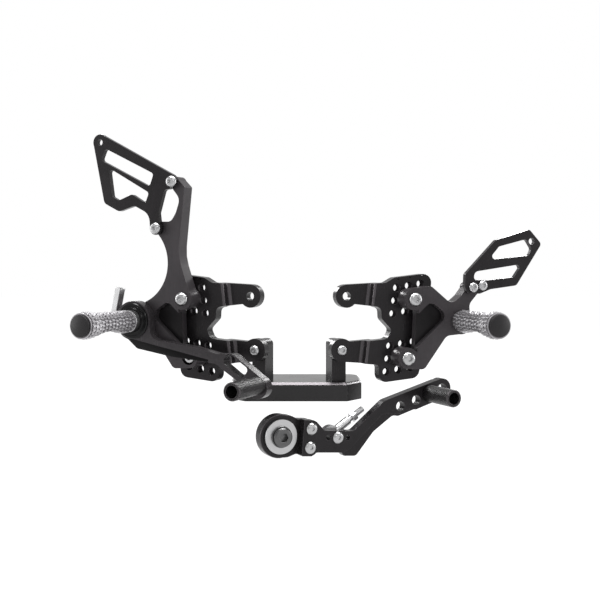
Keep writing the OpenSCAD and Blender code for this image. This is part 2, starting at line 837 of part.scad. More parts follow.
module footpeg() {
    difference() {
        union() {
            cylinder(r = peg_r - 1.2, h = 3);
            for (i = [0:ring_n - 1])
                let (s = 3 + i * ring_pitch, r = peg_radius(s + ring_pitch)) {
                    translate([0, 0, s - 0.01])
                        cylinder(r = r - tooth_h - 0.3, h = ring_pitch + 0.02);
                    translate([0, 0, s])
                        linear_extrude(ring_pitch * 0.66)
                            toothed_disc(r, (i % 2) * 90 / tooth_n);
                }
            translate([0, 0, peg_l - 1.01]) cylinder(r = peg_tip_r - 1, h = 1.01);
        }
        translate([0, -peg_r + peg_hollow - 60, peg_l * 0.49])
            rotate([0, 90, 0]) cylinder(r = 60, h = 60, center = true, $fn = 96);
        translate([0, 0, -eps]) cylinder(d = peg_bolt_d + 0.1, h = peg_l * 0.55 + eps);
        translate([0, 0, peg_l - 4]) cylinder(d = cap_d * 0.7 + 0.2, h = 4 + eps);
    }
}

module at_brake_peg(z) {
    on_brake() translate([peg.x, peg.y, z]) children();
}

module at_gear_peg(z) {
    on_gear() translate([peg.x, peg.y, z]) children();
}

module brake_footpeg() {
    color(silver) at_brake_peg(brake_peg_back) footpeg();
}

module gear_footpeg() {
    color(silver) at_gear_peg(hanger_face) footpeg();
}

// Slightly domed cap with a spigot that sits in the peg's end
module peg_cap() {
    dome = 1.6;
    dome_r = (cap_d * cap_d / 4 + dome * dome) / (2 * dome);
    translate([0, 0, peg_l]) {
        intersection() {
            cylinder(d = cap_d, h = cap_t + dome + eps);
            translate([0, 0, cap_t + dome - dome_r]) sphere(r = dome_r, $fn = 96);
        }
        translate([0, 0, -3]) cylinder(d = cap_d * 0.7, h = 3.01);
    }
}

module peg_end_caps() {
    color(dark) {
        at_brake_peg(brake_peg_back) peg_cap();
        at_gear_peg(hanger_face) peg_cap();
    }
}

// Peg bolts come from behind the hanger, their heads sunk in the boss
module peg_bolt(l) {
    translate([0, 0, hanger_back + peg_bolt_d * 0.6]) rotate([180, 0, 0])
        cap_screw(peg_bolt_d, peg_bolt_d * 1.6, peg_bolt_d * 0.6, l, peg_bolt_d * 0.8);
}

peg_bolt_grip = hanger_t - peg_bolt_d * 0.6;
peg_bolt_thread = 30;

module brake_peg_bolt() {
    color(steel) at_brake_peg(0)
        peg_bolt(peg_bolt_grip + brake_peg_back - hanger_face + peg_bolt_thread);
}

module gear_peg_bolt() {
    color(steel) at_gear_peg(0) peg_bolt(peg_bolt_grip + peg_bolt_thread);
}

module ring(od, id, z0, z1) {
    difference() {
        translate([0, 0, z0]) cylinder(d = od, h = z1 - z0);
        translate([0, 0, z0 - eps]) cylinder(d = id, h = z1 - z0 + 2 * eps);
    }
}

module brake_peg_collar() {
    color(silver) at_brake_peg(0)
        ring(2 * peg_r - 1, peg_bolt_d + 2 * bolt_gap, collar_back, brake_peg_back);
}

module brake_pivot_bush() {
    color(steel) at_brake_peg(0)
        ring(bush_d, peg_bolt_d + 2 * bolt_gap, hanger_face, collar_back);
}

// Brake lever: hub round the bush, long arm, window loop with the toe peg
loop_dir = [cos(215), sin(215)];
loop_top = toe + [31.5, 22.5];

module lever_outline() {
    translate(peg) circle(r = hub_r);
    translate(toe + [0.8, -2.6]) circle(r = loop_w / 2 + 0.6);
    polygon(rounded([at(peg, 0, 0), at(peg, -hub_r, 3), at(peg, -hub_r, -18, 26),
        [45, 5, 30], [18, -0.8, 14], at(toe, 27, 28.8, 8), at(toe, -5.4, 5.6),
        at(toe, 0, -4), at(toe, 7, -11), at(toe, 25, 4.6, 6), at(toe, 37, 12.2, 6),
        [20, -10.4, 10], [75, -6.2, 30], at(peg, -0.5, -28.6, 4), at(peg, 9.2, -15.2, 3),
        at(peg, 15, -10)]));
}

module loop_window_outline() {
    translate(loop_top) rotate([0, 0, 215])
        polygon(rounded([[-5, -loop_window / 2, 4.5], [22, -loop_window / 2, 3.5],
            [22, loop_window / 2, 3.5], [-5, loop_window / 2, 4.5]]));
}

module tang_outline() {
    translate(tang_pin) circle(r = 7);
    polygon([peg + [0, 9], tang_pin + [0, 7], tang_pin + [0, -7], peg + [0, -9]]);
}

tang_face = lever_back + tang_t;
coupling_mid = lever_back - run_gap - coupling_af / 2;

module brake_lever() {
    color(black) on_brake()
        difference() {
            union() {
                slab(lever_back, lever_face) lever_outline();
                slab(lever_back, tang_face) tang_outline();
            }
            slab(lever_back - eps, lever_face + eps) loop_window_outline();
            bore(peg, bush_d + 2 * bush_gap, lever_back, lever_face);
            bore(toe, toe_screw_d, lever_back, lever_face);
            bore(tang_pin, pin_d + 0.1, lever_back, tang_face);
            translate([peg.x + 14, peg.y - 15.8, lever_face])
                rotate([0, 0, 191]) rotate([-atan(chamfer_d / chamfer_w), 0, 0])
                    cube([104, 30, 16]);
        }
}

// Toe pegs: hollow tip, screw at the bottom of the bore
module toe_peg(l) {
    difference() {
        rotate_extrude()
            polygon([[0, 0], [toe_d / 2 - 0.8, 0], [toe_d / 2, 0.8], [toe_d / 2, l - 0.8],
                [toe_d / 2 - 0.8, l], [0, l]]);
        translate([0, 0, -eps]) cylinder(d = toe_screw_d + 2 * bolt_gap, h = l);
        translate([0, 0, l - toe_bore_l]) cylinder(d = toe_bore_d, h = toe_bore_l + eps);
    }
}

module toe_screw(l, grip) {
    translate([0, 0, l - toe_bore_l])
        cap_screw(toe_screw_d - 0.1, toe_screw_d * 1.67, toe_screw_d,
            l - toe_bore_l + grip, toe_screw_d * 0.83);
}

module brake_toe_peg() {
    color(dark) on_brake() translate([toe.x, toe.y, lever_face]) toe_peg(brake_toe_l);
}

module brake_toe_screw() {
    color(steel) on_brake()
        translate([toe.x, toe.y, lever_face]) toe_screw(brake_toe_l, lever_t - 2);
}

// Hexagonal coupling behind the tang; the push rod screws into its top
coupling_foot = 6.5;
thread_l = 18;

module push_rod_coupling() {
    color(silver) on_brake()
        translate([tang_pin.x, tang_pin.y, coupling_mid])
            rotate([0, 0, coupling_lean]) rotate([-90, 0, 0])
                difference() {
                    translate([0, 0, -coupling_foot])
                        cylinder(d = coupling_af / cos(30), h = coupling_l + coupling_foot,
                            $fn = 6);
                    rotate([90, 0, 0])
                        cylinder(d = pin_d + 0.1, h = 3 * coupling_af, center = true);
                    translate([0, 0, coupling_l - thread_l])
                        cylinder(d = rod_d, h = thread_l + eps);
                }
}

// Pin through tang and coupling, its head on the tang's front face
module coupling_pin() {
    pin_back = coupling_mid - coupling_af / 2 - 1.5;
    color(steel) on_brake() translate([tang_pin.x, tang_pin.y, 0]) {
        translate([0, 0, pin_back]) cylinder(d = pin_d, h = tang_face - pin_back + 0.5);
        translate([0, 0, tang_face]) cylinder(d = pin_d + 3, h = 1.6);
    }
}

// Gear lever arm: lobed end on the link, two bends, a row of holes
module arm_outline() {
    for (s = [-1, 1])
        translate([link_bolt_x, s * link_bolt_y]) circle(r = lobe_r);
    translate(tip_hole) circle(r = 10.2);
    polygon(rounded([
        [link_bolt_x - lobe_r, -link_bolt_y, 0],
        [link_bolt_x - lobe_r, -link_bolt_y - lobe_r, 1],
        [link_bolt_x + 2, -link_bolt_y - lobe_r, 0],
        [link_bolt_x + 7, -13.9, 5], [63.5, -13.9, 2],
        [68, -17.6, 3], [81.6, -17.6, 5],
        [99.7, 6.9, 10], [120.5, 23.4, 6],
        at(arm_hole, 0, -10.4, 4), at(tip_hole, 3.4, -9.6, 0), at(tip_hole, 0, 0),
        at(tip_hole, -3.5, 9.6, 6),
        [bend.x + bend_l * cos(bend_slope) + 1, bend.y + bend_l * sin(bend_slope) + 2, 12],
        [bend.x, bend.y, 6],
        [43, 7.6, 5], [link_bolt_x + 5, link_bolt_y + lobe_r - 1.5, 3],
        [link_bolt_x, link_bolt_y + lobe_r, 0],
        [link_bolt_x - lobe_r, link_bolt_y + lobe_r, 1]]));
}

// Lower flange of the arm, which lies a step below the front face
module arm_flange() {
    polygon(rounded([[60, -24, 0], [65.6, -14.4, 2], [72.6, -10.2, 4], [106.8, 25.2, 5],
        [121.6, 25.4, 5], at(arm_hole, 8.5, -3, 4), at(arm_hole, 22, -3),
        at(arm_hole, 20, -20), [100, -24, 0]]));
}

module gear_lever_arm() {
    color(black) on_lever()
        difference() {
            slab(-arm_t, 0) arm_outline();
            slab(-arm_step, eps)
                difference() {
                    arm_flange();
                    translate(arm_hole) circle(r = 7.5);
                }
            for (s = [-1, 1])
                bore([link_bolt_x, s * link_bolt_y], 6.4, -arm_t, 0);
            for (i = [-1:1])
                bore(rod + [i * rod_pitch, 0], i == 0 ? 6.4 : 5.2, -arm_t, 0);
            bore(arm_hole, arm_hole_d, -arm_t, 0);
            bore(arm_hole + arm_hole_pitch * [cos(arm_slope), sin(arm_slope)],
                arm_hole_d, -arm_t, 0);
            bore(tip_hole, arm_hole_d, -arm_t, 0);
            bore(toe_hole, toe_screw_d, -arm_t, 0);
        }
}

// Eye link: ring that holds the bearing, with a tail under the arm's lobes
module link_outline() {
    circle(r = eye_r);
    for (s = [-1, 1])
        translate([link_bolt_x, s * link_bolt_y]) circle(r = lobe_r - 0.4);
    polygon(rounded([[0, -eye_r + 0.3, 0], [10, -eye_r + 0.8, 12],
        [18, -link_bolt_y - lobe_r + 0.4, 4], [link_bolt_x, -link_bolt_y - lobe_r + 0.4, 0],
        [link_bolt_x + 4, -8, 3], [link_bolt_x + 4, 8, 3],
        [link_bolt_x, link_bolt_y + lobe_r - 0.4, 0], [18, link_bolt_y + lobe_r - 0.4, 4],
        [10, eye_r - 0.8, 12], [0, eye_r - 0.3, 0]]));
}

module gear_eye_link() {
    color(black) on_lever()
        difference() {
            slab(link_back, -arm_t) link_outline();
            bore([0, 0], bearing_d - 3, link_back, -arm_t);
            translate([0, 0, bearing_back]) cylinder(d = bearing_d + 0.1, h = link_t);
            for (s = [-1, 1])
                bore([link_bolt_x, s * link_bolt_y], 6, link_back, -arm_t);
        }
}

module link_bolts() {
    color(silver) on_lever()
        for (s = [-1, 1])
            translate([link_bolt_x, s * link_bolt_y, 0])
                button_bolt(5.9, link_head_d, 2.6, arm_t + link_t - 1);
}

// Ball bearing of the gear lever
bearing_mid = bearing_back + bearing_w / 2;
track_r = (bearing_d + bearing_bore) / 4;

module race_groove() {
    translate([0, 0, bearing_w / 2])
        rotate_extrude() translate([track_r, 0]) circle(d = ball_d + 0.1, $fn = 32);
}

module bearing_outer_ring() {
    color(steel) on_lever() translate([0, 0, bearing_back])
        difference() {
            ring(bearing_d, 2 * track_r + ball_d * 0.45, 0, bearing_w);
            race_groove();
        }
}

module bearing_inner_ring() {
    color(steel) on_lever() translate([0, 0, bearing_back])
        difference() {
            ring(2 * track_r - ball_d * 0.45, bearing_bore, 0, bearing_w);
            race_groove();
        }
}

module bearing_balls() {
    color(silver) on_lever() translate([0, 0, bearing_mid])
        for (i = [0:ball_n - 1])
            rotate([0, 0, i * 360 / ball_n]) translate([track_r, 0, 0])
                sphere(d = ball_d, $fn = 32);
}

// Stepped washer over the bearing, and the bolt that carries the lever
washer_back = -arm_t + 0.3;

module pivot_washer() {
    color(silver) on_lever()
        difference() {
            union() {
                disc([0, 0], washer_d, washer_back, washer_back + washer_t);
                disc([0, 0], 2 * track_r - ball_d * 0.5, bearing_back + bearing_w,
                    washer_back + 0.1);
            }
            bore([0, 0], bearing_bore, bearing_back, washer_back + washer_t);
        }
}

module pivot_bolt() {
    color(steel) on_lever()
        translate([0, 0, washer_back + washer_t])
            difference() {
                union() {
                    rotate_extrude()
                        polygon([[0, 0], [pivot_head_d / 2, 0],
                            [pivot_head_d / 2, pivot_head_h - 1.4],
                            [pivot_head_d / 2 - 1.4, pivot_head_h], [0, pivot_head_h]]);
                    translate([0, 0, -pivot_shoulder_l])
                        cylinder(d = bearing_bore - 0.05, h = pivot_shoulder_l + 1);
                    translate([0, 0, -pivot_bolt_l])
                        cylinder(d = pivot_thread_d, h = pivot_bolt_l);
                }
                translate([0, 0, pivot_head_h * 0.25])
                    cylinder(d = pivot_socket / cos(30), h = pivot_head_h, $fn = 6);
            }
}

pivot_shoulder_l = washer_back + washer_t - link_back;
pivot_bolt_l = pivot_shoulder_l + pivot_thread_l;

module gear_toe_peg() {
    color(dark) on_lever() translate([toe_hole.x, toe_hole.y, 0]) toe_peg(gear_toe_l);
}

module gear_toe_screw() {
    color(steel) on_lever() translate([toe_hole.x, toe_hole.y, 0])
        toe_screw(gear_toe_l, arm_t - 1);
}

// Rod end behind the arm
module on_rod() {
    on_lever() translate([rod.x, rod.y, rod_mid]) rotate([0, 0, rod_angle]) children();
}

module rod_end_body() {
    color(silver) on_rod()
        difference() {
            union() {
                translate([0, 0, -rod_eye_t / 2]) cylinder(r = rod_eye_r, h = rod_eye_t);
                translate([rod_eye_r - 2.5, 0, 0]) rotate([0, 90, 0])
                    cylinder(d = rod_d + 3, h = lock_nut_x - rod_eye_r - 1.5);
                translate([rod_eye_r - 1, 0, 0]) rotate([0, 90, 0])
                    cylinder(d = rod_d, h = rod_l - rod_eye_r + 1);
            }
            sphere(d = rod_ball_d + 0.2, $fn = 64);
            translate([0, 0, -rod_eye_t]) cylinder(d = rod_ball_d * 0.82, h = 2 * rod_eye_t);
        }
}

module rod_end_ball() {
    color(silver) on_rod()
        difference() {
            intersection() {
                sphere(d = rod_ball_d, $fn = 64);
                cylinder(d = rod_ball_d + 2, h = rod_ball_w, center = true);
            }
            cylinder(d = rod_d + 0.2, h = 2 * rod_ball_w, center = true);
        }
}

module rod_end_washer() {
    color(steel) on_lever() translate([rod.x, rod.y, 0])
        ring(rod_d * 1.6, rod_d + 0.2, -arm_t - rod_spacer, -arm_t);
}

module rod_end_bolt() {
    color(silver) on_lever() translate([rod.x, rod.y, 0])
        button_bolt(rod_d, 11.8, 2.6, arm_t + rod_spacer + rod_ball_w + 1);
}

module rod_end_lock_nut() {
    color(silver) on_rod()
        translate([lock_nut_x, 0, 0]) rotate([0, 90, 0]) rotate([0, 0, 30])
            hex_ring(lock_nut_af, rod_d + 0.1, lock_nut_t);
}

bridge_bar();
brake_post();
gear_post();
post_screws();
ear_bolts();
brake_adapter_plate();
gear_adapter_plate();
brake_hanger();
gear_hanger();
hanger_bolts();
hanger_nuts();
brake_heel_guard();
gear_heel_guard();
brake_guard_screws();
gear_guard_screws();
brake_footpeg();
gear_footpeg();
peg_end_caps();
brake_peg_bolt();
gear_peg_bolt();
brake_peg_collar();
brake_pivot_bush();
brake_lever();
brake_toe_peg();
brake_toe_screw();
push_rod_coupling();
coupling_pin();
gear_lever_arm();
gear_eye_link();
link_bolts();
bearing_outer_ring();
bearing_inner_ring();
bearing_balls();
pivot_washer();
pivot_bolt();
gear_toe_peg();
gear_toe_screw();
rod_end_body();
rod_end_ball();
rod_end_bolt();
rod_end_washer();
rod_end_lock_nut();
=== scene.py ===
# %% [markdown]
# # Rear-set footrest controls
#
# A rear set moves a rider's feet up and back. Two black plates carry a
# footpeg each, a brake lever hangs on one side and a gear lever belongs to the
# other. Most parts are milled from aluminium and anodised, so the look is a
# matter of crisp edges, satin black and a few bright screws.
#
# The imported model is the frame: each new piece is modelled in metres at its
# real place, and rides on one of the frame's bodies.

import json
import math

import bpy
from mathutils import Matrix, Vector

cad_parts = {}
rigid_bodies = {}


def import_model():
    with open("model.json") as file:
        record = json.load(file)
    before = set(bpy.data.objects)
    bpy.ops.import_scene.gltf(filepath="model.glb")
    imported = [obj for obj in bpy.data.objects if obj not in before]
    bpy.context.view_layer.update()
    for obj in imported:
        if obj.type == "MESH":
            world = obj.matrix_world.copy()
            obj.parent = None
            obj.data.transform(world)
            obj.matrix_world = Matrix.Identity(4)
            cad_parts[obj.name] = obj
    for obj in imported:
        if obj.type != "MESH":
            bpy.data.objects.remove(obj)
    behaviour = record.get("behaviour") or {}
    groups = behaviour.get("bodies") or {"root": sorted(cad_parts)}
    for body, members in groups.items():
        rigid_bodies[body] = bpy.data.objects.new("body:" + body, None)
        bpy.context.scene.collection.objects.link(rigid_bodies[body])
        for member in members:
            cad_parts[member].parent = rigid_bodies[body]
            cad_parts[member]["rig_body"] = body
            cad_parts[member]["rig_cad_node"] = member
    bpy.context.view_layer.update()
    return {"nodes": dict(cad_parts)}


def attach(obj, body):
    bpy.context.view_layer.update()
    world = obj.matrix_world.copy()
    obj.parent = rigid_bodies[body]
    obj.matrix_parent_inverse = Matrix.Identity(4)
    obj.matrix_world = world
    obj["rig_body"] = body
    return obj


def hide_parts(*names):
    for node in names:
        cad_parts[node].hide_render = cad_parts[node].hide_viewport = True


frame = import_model()
nodes = frame["nodes"]

# %% [markdown]
# ## Where the plates and the gear lever stand
#
# Each plate has its own directions: along the plate, up, and out of its face.
# Holes, pegs and levers are placed in those directions, so one helper turns
# them into places in the room. The brake side is the mirror image of the gear
# side, but it stands at a wider angle. The gear lever stands apart and has
# directions of its own, which dip by a few degrees.

# %% Directions and places, in millimetres until the last step
MM = 0.001
UP = Vector((0, 0, 1))
HAND = {"brake": -1, "gear": 1}
SPLAY = {"brake": 25.0, "gear": 18.5}
POST_X = {"brake": 37.7, "gear": 43.3}
POST_FACE, EAR_BOLT = -29.1, 51.5
LEVER_PIVOT = Vector((-10.8, -86.4, -28.2))
LEVER_SPLAY, LEVER_DIP = 26, -5


def directions(splay, hand=1):
    turn = math.radians(splay)
    along = Vector((hand * math.cos(turn), math.sin(turn), 0))
    outward = Vector((hand * math.sin(turn), -math.cos(turn), 0))
    return along, outward


ALONG, OUT = {}, {}
for side in SPLAY:
    ALONG[side], OUT[side] = directions(SPLAY[side], HAND[side])
LEVER_ALONG, LEVER_OUT = directions(LEVER_SPLAY)


def on_plate(side, u, v, w):
    start = Vector((HAND[side] * POST_X[side], POST_FACE, EAR_BOLT))
    return (start + ALONG[side] * u + OUT[side] * w + UP * v) * MM


def on_lever(u, v, w):
    dip = math.radians(LEVER_DIP)
    right = u * math.cos(dip) - v * math.sin(dip)
    rise = u * math.sin(dip) + v * math.cos(dip)
    return (LEVER_PIVOT + LEVER_ALONG * right + LEVER_OUT * w + UP * rise) * MM


print("gear side faces", [round(c, 3) for c in OUT["gear"]])

# %% [markdown]
# ## Where pegs, hub and toe pegs sit
#
# The footpegs of both sides sit at the same place on their plates, and the
# brake lever's hub turns round the same line. The toe pegs are measured from
# there on the brake side, and from the pivot on the gear lever.

# %% Named places
PEG_U, PEG_V = 116.5, 28.9
PEG_BACK = {"brake": 60.8, "gear": 40}
HUB_FACE = 52.2
TOE_INWARD, TOE_BELOW, TOE_FACE = 142.3, 57.8, 50
GEAR_TOE_U, GEAR_TOE_V = 161.0, 47.4

pivot = on_lever(0, 0, 0)
hub = on_plate("brake", PEG_U, PEG_V, HUB_FACE)
brake_toe = on_plate("brake", PEG_U - TOE_INWARD, PEG_V - TOE_BELOW, TOE_FACE)
gear_toe = on_lever(GEAR_TOE_U, GEAR_TOE_V, 0)
print("gear toe peg at", [round(c, 3) for c in gear_toe])

# %% [markdown]
# ## The photographer's eye
#
# The picture was taken from a little above the bridge and from straight in
# front, with a long lens, so parallel edges hardly converge. A 60 mm lens at
# one metre gives the same crop of the set.

# %% Camera
eye = Vector((4, -1036.55, 145.58)) * MM
aim = Vector((4, -37.5, 101.96)) * MM
camera_data = bpy.data.cameras.new("camera")
camera_data.lens = 60
camera_data.sensor_width = 36
camera = bpy.data.objects.new("camera", camera_data)
bpy.context.scene.collection.objects.link(camera)
camera.location = eye
camera.rotation_euler = (aim - eye).to_track_quat("-Z", "Y").to_euler()
bpy.context.scene.camera = camera
print("camera distance", round((aim - eye).length, 3))

# %% [markdown]
# ## Shader maths as plain expressions
#
# A material is a small program. Instead of linking dozens of nodes by hand,
# one class wraps a socket, so that `mask * 0.5 + 0.2` adds the Math nodes that
# it needs. Colours are mixed by a Mix node, because Math would turn them grey.

# %% A socket that can be added, multiplied and subtracted
class Value:
    def __init__(self, tree, socket):
        self.tree = tree
        self.socket = socket

    def _math(self, operation, a, b):
        node = self.tree.nodes.new("ShaderNodeMath")
        node.operation = operation
        for slot, item in zip(node.inputs, (a, b)):
            if isinstance(item, Value):
                self.tree.links.new(item.socket, slot)
            else:
                slot.default_value = item
        return Value(self.tree, node.outputs[0])

    def __add__(self, other):
        return self._math("ADD", self, other)

    __radd__ = __add__

    def __mul__(self, other):
        return self._math("MULTIPLY", self, other)

    __rmul__ = __mul__

    def __sub__(self, other):
        return self._math("SUBTRACT", self, other)

    def __rsub__(self, other):
        return self._math("SUBTRACT", other, self)

    def least(self, other):
        return self._math("MINIMUM", self, other)

    def clamped(self):
        capped = self.least(1.0)
        return capped._math("MAXIMUM", capped, 0.0)

    def sine(self):
        return self._math("SINE", self, 0.0)

    def angle_from(self, other):
        return self._math("ARCTAN2", self, other)


# %% [markdown]
# ## Every other node from one method
#
# A recipe is a node tree with one method that adds a node: its type, the
# output that is wanted, its settings, and then what goes into its sockets, by
# number or by name. The floor and the room use it as it is. A finish adds what
# a surface needs: noise, distances from a line, a blend of two colours, a bump.

# %% A tree that hands out its nodes
class Recipe:
    def __init__(self, tree):
        self.tree = tree

    def node(self, kind, output=0, settings=None, *slots, **named):
        made = self.tree.nodes.new(kind)
        for key, value in (settings or {}).items():
            setattr(made, key, value)
        filled = dict(enumerate(slots))
        filled.update((key.replace("_", " "), value) for key, value in named.items())
        for key, value in filled.items():
            if isinstance(value, Value):
                self.tree.links.new(value.socket, made.inputs[key])
            else:
                made.inputs[key].default_value = value
        if made.outputs:
            return Value(self.tree, made.outputs[output])


# %% A material that knows its surface
class Finish(Recipe):
    def __init__(self, name, **constants):
        self.material = bpy.data.materials.new(name)
        self.material.use_nodes = True
        super().__init__(self.material.node_tree)
        self.shader = self.tree.nodes["Principled BSDF"]
        for socket, value in constants.items():
            self.shader.inputs[socket.replace("_", " ")].default_value = value

    def place(self):
        return self.node("ShaderNodeTexCoord", "Object")

    def noise(self, scale, detail=3.0, where=None):
        return self.node("ShaderNodeTexNoise", "Fac", Scale=scale, Detail=detail,
                         Vector=where or self.place())

    def stretched(self, x, y, z):
        return self.node("ShaderNodeMapping", "Vector", Vector=self.place(),
                         Scale=(x, y, z))

    def vectors(self, operation, output, *pair):
        return self.node("ShaderNodeVectorMath", output, {"operation": operation}, *pair)

    def across(self, centre, axis):
        moved = self.vectors("SUBTRACT", "Vector", self.place(), centre)
        crossed = self.vectors("CROSS_PRODUCT", "Vector", moved, axis)
        return self.vectors("LENGTH", "Value", crossed)

    def along(self, centre, axis):
        moved = self.vectors("SUBTRACT", "Vector", self.place(), centre)
        return self.vectors("DOT_PRODUCT", "Value", moved, axis)

    def rings(self, distance, scale):
        return self.node("ShaderNodeTexNoise", "Fac", {"noise_dimensions": "1D"},
                         W=distance, Scale=scale, Detail=2.0)

    def blend(self, mask, dark, light):
        return self.node("ShaderNodeMix", "Result", {"data_type": "RGBA"},
                         Factor=mask, A=(*dark, 1), B=(*light, 1))

    def feed(self, **links):
        for key, value in links.items():
            self.tree.links.new(value.socket, self.shader.inputs[key.replace("_", " ")])

    def bump(self, height, strength, distance):
        self.feed(Normal=self.node("ShaderNodeBump", "Normal", Height=height,
                                   Strength=strength, Distance=distance))


def tinted(level, tint=(1, 1, 1)):
    return tuple(level * part for part in tint)


print("a light grey is", tinted(0.8))

# %% [markdown]
# ## Satin black anodising
#
# Anodised aluminium is a dyed oxide skin on metal: nearly black, with a clean
# but slightly broken highlight. The dye is a touch uneven, the roughness
# drifts with the handling of the part, and the cutter leaves very fine lines.
# A dark base with a clear coat would look like paint, so the skin is a dark,
# half-metallic surface whose roughness varies. `run` stretches the cutter's
# lines along the way that the tool went.

# %% Black anodised finish
def black_anodised(name, shade, rough=0.25, metal=0.25, gloss=0.2, grain=0.06,
                   run=(1, 1, 0.12)):
    finish = Finish(name, Metallic=metal, Specular_IOR_Level=gloss)
    cloud = finish.noise(45, 4)
    lines = finish.noise(900, 2, finish.stretched(*run))
    low = tinted(shade, (0.75, 0.68, 0.73))
    high = tinted(shade, (1.6, 1.45, 1.55))
    finish.feed(Base_Color=finish.blend(cloud * 0.6 + lines * 0.4, low, high),
                Roughness=cloud * 0.1 + lines * 0.06 + (rough - 0.08))
    finish.bump(lines, grain, 0.04 * MM)
    return finish.material


plate_black = black_anodised("plate_black", 0.014)
hanger_black = black_anodised("hanger_black", 0.036, 0.32)
# A darker copy of the black for the floors of milled webs: painted shade in the recess.
recess_shade_black = black_anodised("recess_shade_black", 0.008, 0.3)
bridge_black = black_anodised("bridge_black", 0.009, 0.2, gloss=0.4, grain=0.3,
                              run=(0.02, 0.05, 1))
lever_black = black_anodised("lever_black", 0.028, 0.26)
arm_black = black_anodised("arm_black", 0.013, 0.25)
# A darker, duller copy of the black for the brake lever's slopes: painted shade.
slope_shade_black = black_anodised("slope_shade_black", 0.002, 0.35, metal=0.1, gloss=0.06)
# A lighter, more reflective copy of the black for bevels, slopes and thread crests: it
# paints highlights along the edges.
edge_highlight_black = black_anodised("edge_highlight_black", 0.06, 0.24, metal=0.6, gloss=0.5,
                            grain=0.02)
print("nodes in one black finish", len(plate_black.node_tree.nodes))

# %% [markdown]
# ## Knurled sleeves
#
# The toe pegs are rolled with a fine diamond knurl so that a boot doesn't slip.
# Two waves that wind round the sleeve in opposite directions cross in
# diamonds: each is a sine of the angle round the peg plus the way along it.
# That is cheaper than thousands of little pyramids, and just as convincing at
# a few millimetres. The same waves also darken the colour in the grooves
# between the diamonds: painted shade.

# %% Knurl from two crossing waves
KNURL_STARTS = 18
KNURL_WIND = 2200


def knurled(name, centre, axis):
    finish = Finish(name, Metallic=0.25, Specular_IOR_Level=0.22)
    level = axis.cross(UP).normalized()
    height = finish.along(centre, axis.cross(level))
    starts = height.angle_from(finish.along(centre, level)) * KNURL_STARTS
    wind = finish.along(centre, axis) * KNURL_WIND
    diamonds = (starts + wind).sine() * 0.25 + (starts - wind).sine() * 0.25 + 0.5
    cloud = finish.noise(60, 3)
    # Darker in the grooves between the diamonds, lighter on their crests: painted shade.
    finish.feed(Base_Color=finish.blend(diamonds * 0.7 + cloud * 0.3,
                                        (0.002, 0.002, 0.002), (0.022, 0.02, 0.021)),
                Roughness=cloud * 0.1 + 0.26)
    finish.bump(diamonds, 0.9, 0.4 * MM)
    return finish.material


brake_sleeve = knurled("brake_sleeve_black", brake_toe, OUT["brake"])
gear_sleeve = knurled("gear_sleeve_black", gear_toe, LEVER_OUT)
print("diamonds round a toe peg", KNURL_STARTS)

# %% [markdown]
# ## Bright metal
#
# The pegs, the washer and the screw heads are bare or zinc-plated metal. They
# mirror the white room, so their shape shows through darker reflections. A
# lathe leaves rings round the axis. The gaps between a footpeg's teeth get
# painted shade, darker than their tips, also where the peg flares towards its
# end.

# %% Plain, toothed and turned metal
FLARE_START, FLARE_RATE, FLARE_RISE = 0.0547, 54.8, 0.002
CORE_RADIUS, TOOTH_RATE = 0.0094, 620


def bright_metal(name, shade, rough):
    finish = Finish(name, Metallic=1.0)
    cloud = finish.noise(60, 4)
    marks = finish.noise(700, 3)
    finish.feed(Base_Color=finish.blend(cloud * 0.6 + marks * 0.4, tinted(shade * 0.82),
                                        tinted(shade, (1.04, 1.04, 1.06))),
                Roughness=cloud * 0.14 + marks * 0.08 + (rough - 0.1))
    finish.bump(marks, 0.15, 0.06 * MM)
    return finish.material


def peg_metal(name, side):
    finish = Finish(name, Metallic=1.0)
    line = on_plate(side, PEG_U, PEG_V, PEG_BACK[side]), OUT[side]
    flare = ((finish.along(*line) - FLARE_START) * FLARE_RATE).clamped()
    tooth_foot = flare * flare * (3.0 - 2.0 * flare) * FLARE_RISE + CORE_RADIUS
    # 0 in the gaps between the teeth, 1 at their tips; the colour below darkens the gaps
    # as painted shade.
    depth = ((finish.across(*line) - tooth_foot) * TOOTH_RATE).clamped()
    cloud = finish.noise(60, 4)
    marks = finish.noise(1100, 3)
    finish.feed(Base_Color=finish.blend(depth * 0.85 + cloud * 0.15,
                                        (0.16, 0.15, 0.16), (0.72, 0.71, 0.73)),
                Roughness=cloud * 0.14 + marks * 0.08 + 0.32)
    finish.bump(marks, 0.1, 0.05 * MM)
    return finish.material


def turned_metal(name, shade, rough, centre, axis):
    finish = Finish(name, Metallic=1.0)
    cloud = finish.noise(60, 4)
    marks = finish.rings(finish.across(centre, axis), 2600)
    finish.feed(Base_Color=finish.blend(cloud * 0.4 + marks * 0.6, tinted(shade * 0.8),
                                        tinted(shade, (1.08, 1.08, 1.1))),
                Roughness=cloud * 0.12 + (rough - 0.06))
    finish.bump(marks, 0.35, 0.12 * MM)
    return finish.material


# %% Bright finishes
brake_silver = peg_metal("brake_peg_silver", "brake")
gear_silver = peg_metal("gear_peg_silver", "gear")
collar_silver = bright_metal("collar_silver", 0.62, 0.3)
screw_silver = bright_metal("screw_silver", 0.46, 0.26)
turned_steel = bright_metal("turned_steel", 0.3, 0.32)
washer_silver = turned_metal("washer_silver", 0.5, 0.3, pivot, LEVER_OUT)
dark_steel = turned_metal("dark_steel", 0.12, 0.28, pivot, LEVER_OUT)
ring_black = turned_metal("ring_black", 0.022, 0.2, hub, OUT["brake"])
print("nodes in a peg's finish", len(gear_silver.node_tree.nodes))

# %% [markdown]
# ## Moulded black caps
#
# The caps that close the footpegs are plastic, so they are matt, with a faint
# grain from the mould and no metal in them.

